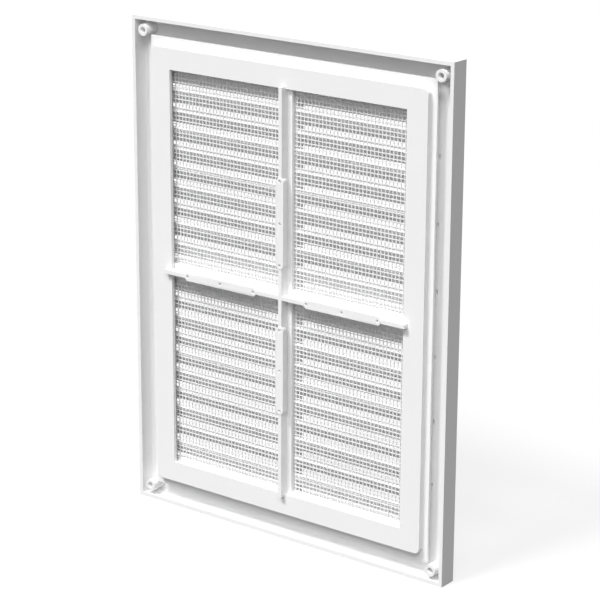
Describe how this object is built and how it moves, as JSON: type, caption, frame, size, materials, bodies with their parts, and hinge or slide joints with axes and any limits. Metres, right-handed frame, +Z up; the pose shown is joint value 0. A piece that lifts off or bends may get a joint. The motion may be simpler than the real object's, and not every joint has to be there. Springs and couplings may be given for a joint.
{
  "type": "louvred vent",
  "caption": "Rectangular louvred wall vent with sloping blades, a framed insect screen behind them and a screw boss in each corner.",
  "frame": {"origin": "centre of the four screw holes, in the plane of the rim's rear edge", "axes": "+X to the right as seen from the front, +Y out of the rear towards the wall, +Z up"},
  "size_m": [0.189, 0.0135, 0.252],
  "materials": {
    "body_plastic": "white, satin",
    "frame_plastic": "white, satin",
    "mesh_plastic": "white, fine mesh"
  },
  "bodies": {
    "root": {"grille_body": "body_plastic", "screen_frame": "frame_plastic", "insect_mesh": "mesh_plastic"}
  },
  "joints": []
}
